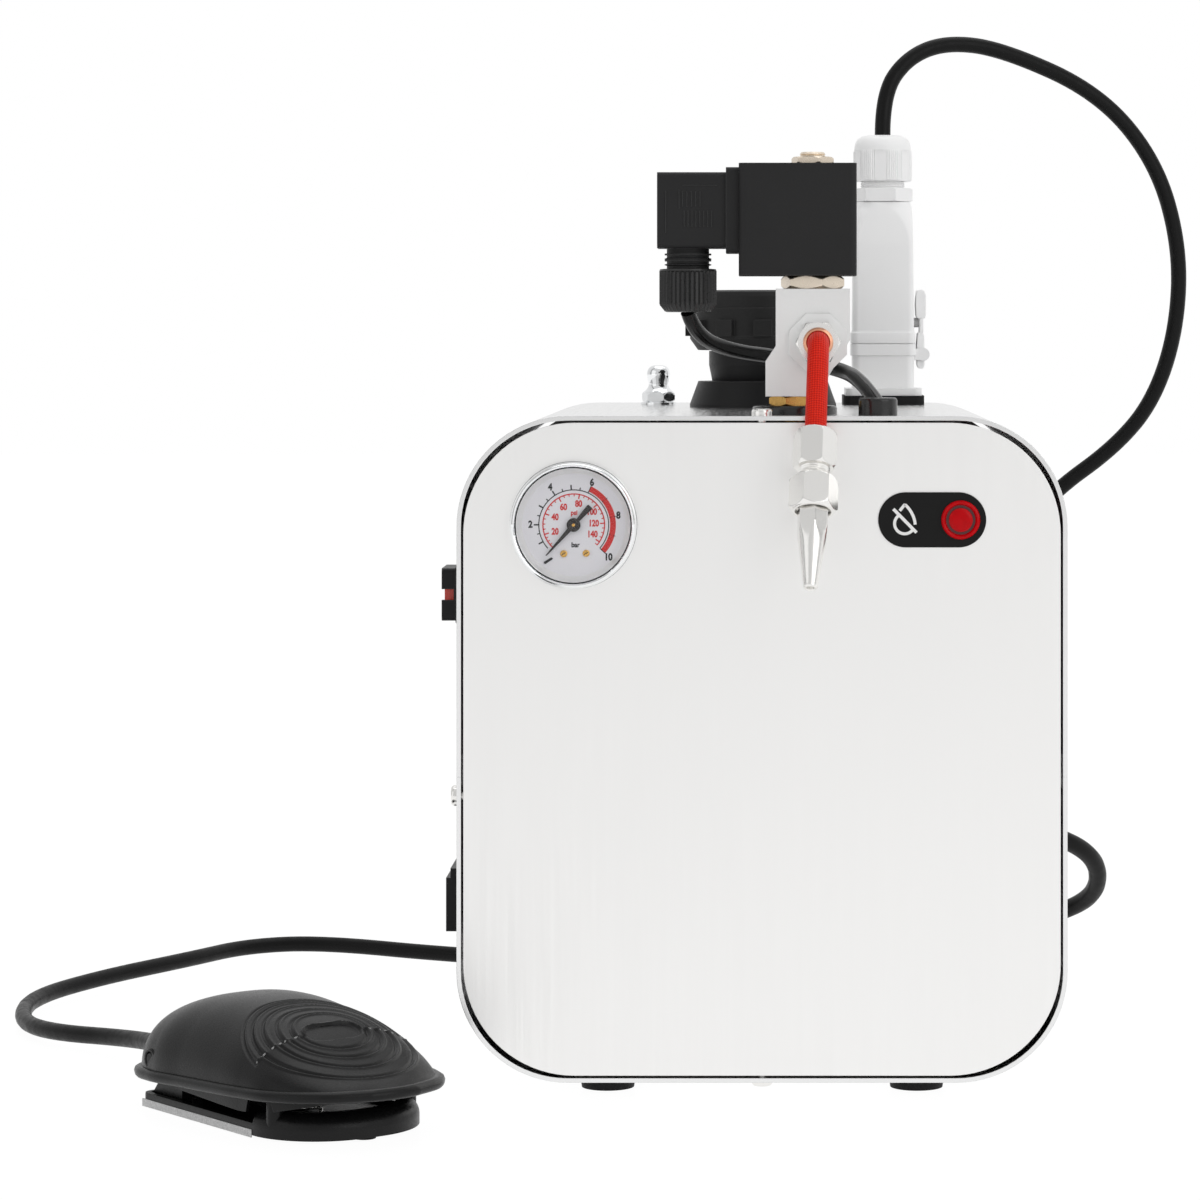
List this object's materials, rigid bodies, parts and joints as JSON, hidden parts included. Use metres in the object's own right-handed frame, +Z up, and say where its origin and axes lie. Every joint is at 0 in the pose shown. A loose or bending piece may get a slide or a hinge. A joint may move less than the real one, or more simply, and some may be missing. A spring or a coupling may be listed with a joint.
{
  "type": "steam cleaner",
  "caption": "Counter-top steam cleaner in a rounded steel housing, with boiler, filler cap, gauge, solenoid valve, steam nozzle and a corded foot pedal.",
  "frame": {"origin": "on the counter under the middle of the housing, level with the undersides of the rubber feet", "axes": "+Z up, +X to the right seen from the front, +Y from the front panel to the back"},
  "size_m": [0.5977, 0.6271, 0.4993],
  "materials": {
    "stainless_steel": "brushed",
    "polished_steel": "polished",
    "boiler_steel": "satin",
    "plated_steel": "plated",
    "plain_steel": "satin",
    "black_rubber": "matt",
    "control_plastic": "matt",
    "black_plastic": "satin",
    "button_plastic": "satin",
    "chrome": "polished",
    "brass": "satin",
    "cast_aluminium": "blasted",
    "copper": "satin",
    "red_sleeve": "braided",
    "grey_plastic": "satin",
    "dial_face": "matt",
    "dark_needle": "matt",
    "clear_glass": "clear",
    "red_lens": "gloss",
    "black_lead": "satin",
    "pedal_plastic": "textured"
  },
  "bodies": {
    "housing": {"armature_tube": "plated_steel", "back_panel": "stainless_steel", "boiler_controls": "control_plastic", "boiler_tank": "boiler_steel", "brass_nipple": "brass", "breaker_body": "black_plastic", "cable_bush": "black_plastic", "chassis_tray": "boiler_steel", "coil": "black_plastic", "coil_nut": "plated_steel", "coil_plug": "black_plastic", "coil_plug_gland_nut": "black_plastic", "compression_nut": "plated_steel", "connector_base": "grey_plastic", "connector_gasket": "black_rubber", "connector_gland_nut": "grey_plastic", "connector_hood": "grey_plastic", "filler_neck": "boiler_steel", "front_panel": "stainless_steel", "gauge_case": "chrome", "gauge_dial": "dial_face", "gauge_glass": "clear_glass", "heating_element": "boiler_steel", "indicator_lamp": "red_lens", "indicator_plate": "black_plastic", "inner_pipes": "boiler_steel", "lower_shell": "polished_steel", "mains_coil": "black_lead", "mains_cord": "black_lead", "mains_plug": "black_lead", "mains_strain_relief": "black_lead", "neck_skirt": "black_plastic", "nozzle": "plated_steel", "nozzle_union": "plated_steel", "pedal_base": "pedal_plastic", "pedal_cord": "black_lead", "pedal_pin": "plated_steel", "pedal_spring": "plain_steel", "pedal_switch": "control_plastic", "plunger_spring": "plain_steel", "port_nut": "plated_steel", "relief_valve_body": "chrome", "rubber_feet": "black_rubber", "shell_screws": "plated_steel", "steam_tube": "copper", "switch_frame": "black_plastic", "tube_sleeve": "red_sleeve", "upper_shell": "polished_steel", "valve_base_seal": "black_rubber", "valve_body": "cast_aluminium", "valve_cable": "black_lead"},
    "cap_follower": {"cap_gasket": "black_rubber"},
    "cap": {"filler_cap": "black_plastic"},
    "lever": {"locking_lever": "grey_plastic"},
    "needle": {"gauge_needle": "dark_needle"},
    "plunger": {"valve_plunger": "plain_steel"},
    "relief_seat": {"relief_poppet": "brass"},
    "rocker": {"switch_rocker": "red_lens"},
    "reset_button": {"breaker_button": "button_plastic"},
    "pedal_top": {"pedal_cover": "pedal_plastic"}
  },
  "joints": [
    {"name": "cap_lift", "type": "slide", "parent": "housing", "child": "cap_follower", "axis": [0, 0, 1], "range_m": [0, 0.0092]},
    {"name": "cap_turn", "type": "hinge", "parent": "cap_follower", "child": "cap", "pos_m": [0, 0.045, 0.3355], "axis": [0, 0, 1], "range_deg": [0, 1080]},
    {"name": "lever_swing", "type": "hinge", "parent": "housing", "child": "lever", "pos_m": [0.0826, 0.1245, 0.3328], "axis": [0, 1, 0], "range_deg": [0, 85]},
    {"name": "needle_sweep", "type": "hinge", "parent": "housing", "child": "needle", "pos_m": [-0.0848, -0.1617, 0.258], "axis": [0, 1, 0], "range_deg": [0, 270], "stiffness_Nm_per_rad": 0.0003, "springref_deg": -34.38},
    {"name": "plunger_lift", "type": "slide", "parent": "housing", "child": "plunger", "axis": [0, 0, 1], "range_m": [0, 0.0024], "stiffness_N_per_m": 300, "springref_m": -0.004, "deforming": ["plunger_spring"]},
    {"name": "relief_lift", "type": "slide", "parent": "housing", "child": "relief_seat", "axis": [0, 0, 1], "range_m": [0, 0.0015], "stiffness_N_per_m": 500, "springref_m": -0.004},
    {"name": "rocker_tilt", "type": "hinge", "parent": "housing", "child": "rocker", "pos_m": [-0.1385, -0.1215, 0.225], "axis": [0, 0, 1], "range_deg": [0, 16]},
    {"name": "breaker_press", "type": "slide", "parent": "housing", "child": "reset_button", "axis": [1, 0, 0], "range_m": [0, 0.0025], "stiffness_N_per_m": 300, "springref_m": -0.003},
    {"name": "pedal_press", "type": "hinge", "parent": "housing", "child": "pedal_top", "pos_m": [-0.23662, -0.16921, 0.0235], "axis": [0.7804, 0.6252, 0], "range_deg": [0, 2.5], "stiffness_Nm_per_rad": 14, "springref_deg": -4.01, "deforming": ["pedal_spring"]}
  ],
  "couplings": [
    {"joint": "cap_lift", "follows": "cap_turn", "m_per_rad": 0.00047746}
  ]
}
